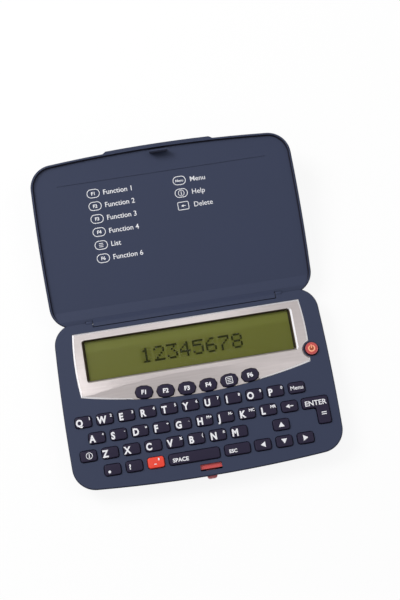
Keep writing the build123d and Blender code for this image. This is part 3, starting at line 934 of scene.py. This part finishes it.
# %% The green reflector
def make_display_green():
    """Olive green, paler towards the rear as a painted reflection, with a cloudy border between."""
    material, tree, shader = bare_material("display_green")
    # painted reflection: a paler band towards the rear, where the window's gloss lies over the
    # display
    climb = rise_along_y(tree, hinge_y - 14.5 * MM, hinge_y - 12.5 * MM)
    cloud = maths(tree, "MULTIPLY_ADD", noise(tree, 30 * MM, 1.0), 0.2, -0.1)
    pale = maths(tree, "ADD", climb, cloud, clamp=True)
    colour = mix_colour(tree, pale, seen(98, 101, 40), seen(107, 111, 48))
    rough = maths(tree, "MULTIPLY_ADD", cloud, 0.3, 0.45)
    feed(tree, shader, {"Base Color": colour, "Roughness": rough, "Specular IOR Level": 0.1})
    return material


screen_centre = middle_of("display_window")
screen_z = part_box("lcd_module")[1].z
glass_corner = 0.4 * MM
reflector_height = 0.08 * MM
glass_width, glass_depth = 100.4 * MM, 21.6 * MM
rings = [
    [(screen_centre.x + x, screen_centre.y + y, screen_z + z)
     for x, y in soft_rectangle(glass_width - 2 * inset, glass_depth - 2 * inset, glass_corner, 4)]
    for inset, z in ((0, 0.005 * MM), (0, 0.06 * MM), (0.05 * MM, reflector_height))]
reflector = mesh_piece("display_reflector", *skin(rings), make_display_green(), "display_glass")
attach(reflector, "base")
print("display glass at", round(screen_z / MM, 2), "mm")

# %% The dark sheet of painted shade round the display
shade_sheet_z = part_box("display_window")[0].z  # a dark sheet under the clear window, painted shade along the display's edges
opening_x, opening_y = -0.6 * MM, 0.4 * MM  # the opening lies a little left and to the rear
shade_sheet_outer = soft_rectangle(101.0 * MM, 21.0 * MM, glass_corner, 4)
shade_sheet_inner = [(x + opening_x, y + opening_y)
              for x, y in soft_rectangle(96.0 * MM, 18.7 * MM, glass_corner, 4)]
shade_sheet_place = Matrix.Translation((screen_centre.x, screen_centre.y, shade_sheet_z - ink / 2))
print_marks("display_shade_sheet", [flat_shape(shade_sheet_outer, shade_sheet_inner)], shade_sheet_place, "base", tray_dark,
            "display_glass")
print("mask at", round(shade_sheet_z / MM, 2), "mm")

# %% The digits
digit_rows = {
    "1": "..#.. .##.. ..#.. ..#.. ..#.. ..#.. .###.",
    "2": ".###. #...# ....# ...#. ..#.. .#... #####",
    "3": "##### ...#. ..#.. ...#. ....# #...# .###.",
    "4": "...#. ..##. .#.#. #..#. ##### ...#. ...#.",
    "5": "##### #.... ####. ....# ....# #...# .###.",
    "6": "..##. .#... #.... ####. #...# #...# .###.",
    "7": "##### ....# ...#. ..#.. .#... .#... .#...",
    "8": ".###. #...# #...# .###. #...# #...# .###."}
dot_pitch, dot_size, digit_pitch = 1.02, 0.98, 6.12  # in millimetres, like text_x and text_y
text_x, text_y = 0.4, -19.1  # middle of the text, from the middle of the hinge
lit, unlit = [], []
for place_in_row, digit in enumerate(digit_rows):
    left = (place_in_row - (len(digit_rows) - 1) / 2) * digit_pitch
    for row, line in enumerate(digit_rows[digit].split()):
        for column, dot in enumerate(line):
            x = text_x + left + (column - 2) * dot_pitch
            y = text_y + (3 - row) * dot_pitch
            (lit if dot == "#" else unlit).append(bar_mark(x, y, dot_size, dot_size))
text_place = Matrix.Translation((0, hinge_y, screen_z + reflector_height + lift))
dot_ink = moulded("dot_ink", seen(22, 25, 0), 0.4, 0.1, 0.001, 0.03, sheen=0.05)
dot_faint = moulded("dot_faint", seen(90, 93, 34), 0.4, 0.1, 0.001, 0.03, sheen=0.05)
print_marks("display_digits", lit, text_place, "base", dot_ink, "display_glass")
print_marks("display_idle_dots", unlit, text_place, "base", dot_faint, "display_glass")
print(len(lit), "dots on,", len(unlit), "off")

# %% [markdown]
# ## Printing on the lid
#
# The lid's panel carries a list: a small capsule like a function key, and a word beside it. Each
# could be laid straight onto the slope, but it is simpler to lay them out on a level lid, measured
# from the hinge line, and to let the matrix made at the start tilt them all.

# %% The list on the lid
closed_gap, lid_recess = 0.05, 1.3  # in mm: the gap when shut, and the dish of the lid's face
panel_z = hinge_z - axis_depth - (closed_gap + lid_recess) * MM
panel = on_lid @ Matrix.Translation((0, hinge_y, panel_z + lift))
list_capsule = (6.2, 4.3, 0.32, 2.1)  # width, height, line and corner
left_rows = (61.0, 54.9, 48.7, 42.35, 36.05, 29.7)
left_x, left_text = -33.65, -29.1
text_height = 2.3
marks = []
for number, y in enumerate(left_rows, 1):
    marks.append(capsule_mark(left_x, y, *list_capsule))
    if number == 5:
        marks.append(word("List", left_text, y, text_height, 0.008, "LEFT"))
        marks += [bar_mark(left_x, y + rise, 2.0, 0.28) for rise in (-0.8, 0, 0.8)]
    else:
        marks.append(word(f"F{number}", left_x, y, 1.5, 0.03))
        marks.append(word(f"Function {number}", left_text, y, text_height, 0.008, "LEFT"))
print_marks("lid_list_left", marks, panel, "lid", slot="case_plastic")

right_x, right_text = 7.65, 12.6
menu_y, help_y, delete_y = left_rows[:3]
marks = [capsule_mark(right_x, menu_y, *list_capsule),
         word("Menu", right_x, menu_y, 1.2, 0.012, width=3.7),
         capsule_mark(right_x, help_y, *list_capsule),
         ring_mark(right_x, help_y, 1.5, 1.25), word("i", right_x, help_y, 1.6, 0.03),
         capsule_mark(right_x, delete_y, 5.4, 4.0, 0.32, 0.7),
         arrow_mark(right_x - 0.5, delete_y, "left", 1.3, 1.1),
         bar_mark(right_x + 0.6, delete_y, 1.2, 0.3)]
for y, text in ((menu_y, "Menu"), (help_y, "Help"), (delete_y, "Delete")):
    marks.append(word(text, right_text, y, text_height, 0.004, "LEFT"))
print_marks("lid_list_right", marks, panel, "lid", slot="case_plastic")
print("lid list:", len(left_rows), "rows left, 3 right")

# %% [markdown]
# ## Floor and world
#
# The photograph has a pure white ground and soft light. White paint alone would need so much light
# that the object would wash out, so the floor is a mix: a share of it simply shows as white, and
# the rest takes the object's shadow. To the camera the world is white, in reflections a little
# less, and as a lamp weaker still. What the floor throws back is held down, so that the undersides
# of the object's edges stay dark, as they are in the photograph.

# %% Floor and world
white_share = 0.89  # of the floor, to the camera and in reflections


def make_floor_white():
    """A white that takes shadows, and is clear from below so that the underside can be seen."""
    material, tree, shader = bare_material("floor_white")
    path = from_node(tree, "LightPath")
    to_eye = maths(tree, "MAXIMUM", path["Is Camera Ray"], path["Is Glossy Ray"])
    shade = mix_colour(tree, to_eye, seen(110, 110, 110), seen(250, 250, 250))
    feed(tree, shader, {"Base Color": shade, "Roughness": 0.9, "Specular IOR Level": 0.0})
    glow = from_node(tree, "Emission", {"Color": (1, 1, 1, 1)})[0]
    share = maths(tree, "MULTIPLY", to_eye, white_share)
    above = from_node(tree, "MixShader", {0: share, 1: shader.outputs[0], 2: glow})[0]
    below = from_node(tree, "BsdfTransparent")[0]
    from_below = from_node(tree, "NewGeometry")["Backfacing"]
    either = from_node(tree, "MixShader", {0: from_below, 1: above, 2: below})[0]
    feed(tree, tree.nodes["Material Output"], {"Surface": either})
    return material


floor_reach = 3.0
floor_z = -0.02 * MM
floor_mesh = bpy.data.meshes.new("floor")
corners = [(floor_reach * x, floor_reach * y, floor_z)
           for x, y in ((-1, -1), (1, -1), (1, 1), (-1, 1))]
floor_mesh.from_pydata(corners, [], [(0, 1, 2, 3)])
floor_mesh.materials.append(make_floor_white())
add_object("floor", floor_mesh)

world = bpy.data.worlds.new("studio")
bpy.context.scene.world = world
world.use_nodes = True
sky = world.node_tree
path = from_node(sky, "LightPath")
direct = maths(sky, "MAXIMUM", path["Is Camera Ray"], path["Is Transmission Ray"])
ambient, mirrored = 0.35, 0.76  # the world as a lamp, and as surfaces mirror it
level = maths(sky, "MULTIPLY_ADD", direct, 1 - ambient, ambient)
level = maths(sky, "MULTIPLY_ADD", path["Is Glossy Ray"], mirrored - ambient, level)
feed(sky, sky.nodes["Background"], {"Color": (1, 1, 1, 1), "Strength": level})
bpy.context.scene.view_settings.view_transform = "Standard"
print("floor", 2 * floor_reach, "m wide; ambient light", ambient)

# %% [markdown]
# ## Lamps
#
# One large lamp at the rear left models the object, and a side lamp and a fill lamp open up its
# shadows. The silver frame is half a mirror, so a stronger main lamp would burn out the keys before
# it brightened the frame. Instead, small weak lamps hang where the frame looks: two for its broad
# top, and one each for its left corner, its lens-shaped facet and its right side.

# %% Lamps
def soft_box(name, place, size, watts, aim=None):
    """A square lamp that faces down, or towards a point."""
    light = adjust(bpy.data.lights.new(name, "AREA"), size=size, energy=watts)
    lamp = adjust(add_object(name, light), location=place)
    if aim:
        lamp.rotation_euler = (Vector(aim) - Vector(place)).to_track_quat("-Z", "Y").to_euler()


aim_point = (0, 0.02, 0)
soft_box("key_lamp", (-0.62, 0.5, 0.75), 0.5, 7.8, aim_point)
soft_box("side_lamp", (-0.88, 0.22, 0.42), 0.5, 0.4, aim_point)
soft_box("shine_lamp_left", (-0.16, 0.37, 0.8), 0.38, 0.33)
soft_box("shine_lamp_middle", (-0.09, 0.37, 0.8), 0.38, 0.66)
soft_box("corner_lamp", (-0.11, 0.155, 0.79), 0.06, 0.08)
soft_box("facet_lamp", (0.14, 0.055, 0.8), 0.1, 0.03)
soft_box("right_lamp", (0.19, 0.155, 0.8), 0.11, 0.022)
soft_box("fill_lamp", (0.55, 0.1, 0.75), 0.4, 0.9, aim_point)
print(len(bpy.data.lights), "lamps, of which five are for the silver frame")

# %% [markdown]
# ## Camera
#
# The photograph was taken from a little over half a metre, nearly straight above. The view leans
# 15 degrees towards the user and is turned 14 degrees to the left, and the camera was rolled by 5
# degrees: together these lay the object aslant in the frame. The hinge's middle falls on a known
# place in the picture. Turning the camera to put it there would change the view, so the camera
# moves sideways instead.

# %% Camera
frame_width, frame_height = 400, 600  # the photograph, in pixels
lean, turned, roll = radians(15.174), radians(-14.213), radians(-4.748)
distance = 0.6335
pixels_per_metre = 2136.9  # at the hinge's middle
hinge_pixel_x, hinge_pixel_y = 184.15, 307.98

back = Vector((sin(lean) * sin(turned), -sin(lean) * cos(turned), cos(lean)))
sideways = Vector((cos(turned), sin(turned), 0))
climb = back.cross(sideways)
right = sideways * cos(roll) - climb * sin(roll)
up = sideways * sin(roll) + climb * cos(roll)
aside = (hinge_pixel_x - frame_width / 2) / pixels_per_metre
raised = (frame_height / 2 - hinge_pixel_y) / pixels_per_metre
stand = Vector((0, hinge_y, surface_z)) + back * distance - right * aside - up * raised

sensor = 36.0
lens = adjust(bpy.data.cameras.new("camera"), sensor_fit="VERTICAL", sensor_height=sensor,
              lens=pixels_per_metre * distance / frame_height * sensor, clip_start=0.01)
camera = add_object("camera", lens)
turn_matrix = Matrix((right, up, back)).transposed().to_4x4()
camera.matrix_world = Matrix.Translation(stand) @ turn_matrix
bpy.context.scene.camera = camera
print("camera at", [round(c, 3) for c in stand], "m, lens", round(lens.lens, 1), "mm")
